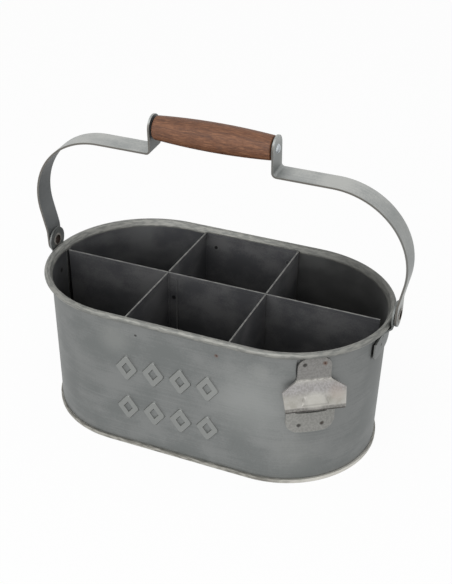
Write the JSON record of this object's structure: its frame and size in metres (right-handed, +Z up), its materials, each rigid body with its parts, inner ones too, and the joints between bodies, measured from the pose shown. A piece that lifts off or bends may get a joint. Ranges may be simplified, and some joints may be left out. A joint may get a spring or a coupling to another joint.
{
  "type": "bottle caddy",
  "caption": "Oval galvanised sheet caddy with divided cells for bottles, a swinging bail with a turned wooden grip, and a pressed bottle opener on its side.",
  "frame": {"origin": "on the surface that the caddy stands on, under the middle of the tub", "axes": "+X along the tub toward the end that carries the opener, -Y toward the front with the pressed motif, +Z up; the bail stands as it was left, leaning a little toward the front"},
  "size_m": [0.393, 0.2168, 0.33],
  "materials": {
    "galvanised_sheet": "dull zinc with an aged grey patina",
    "pressed_steel": "dull zinc",
    "rivet_steel": "worn zinc, a little rust in the bore",
    "strap_steel": "dull zinc on flat strap",
    "opener_steel": "warm grey, satin",
    "turned_wood": "stained, satin"
  },
  "bodies": {
    "tub": {"tub_wall": "galvanised_sheet", "rim_wire": "galvanised_sheet", "base_pan": "galvanised_sheet", "long_divider": "galvanised_sheet", "front_cell_insert": "galvanised_sheet", "rear_cell_insert": "galvanised_sheet", "ear_left": "pressed_steel", "ear_right": "pressed_steel", "pivot_rivet_left": "rivet_steel", "pivot_rivet_right": "rivet_steel", "pivot_washer_left": "pressed_steel", "pivot_washer_right": "pressed_steel", "bottle_opener": "opener_steel"},
    "bail": {"bail_strap_left": "strap_steel", "bail_strap_right": "strap_steel", "grip_rod": "rivet_steel"},
    "grip": {"grip": "turned_wood"}
  },
  "joints": [
    {"name": "bail_swing", "type": "hinge", "parent": "tub", "child": "bail", "pos_m": [0, 0, 0.1633], "axis": [1, 0, 0], "range_deg": [-128, 119]},
    {"name": "grip_spin", "type": "hinge", "parent": "bail", "child": "grip", "pos_m": [0, -0.01147, 0.31587], "axis": [1, 0, 0], "continuous": true}
  ]
}
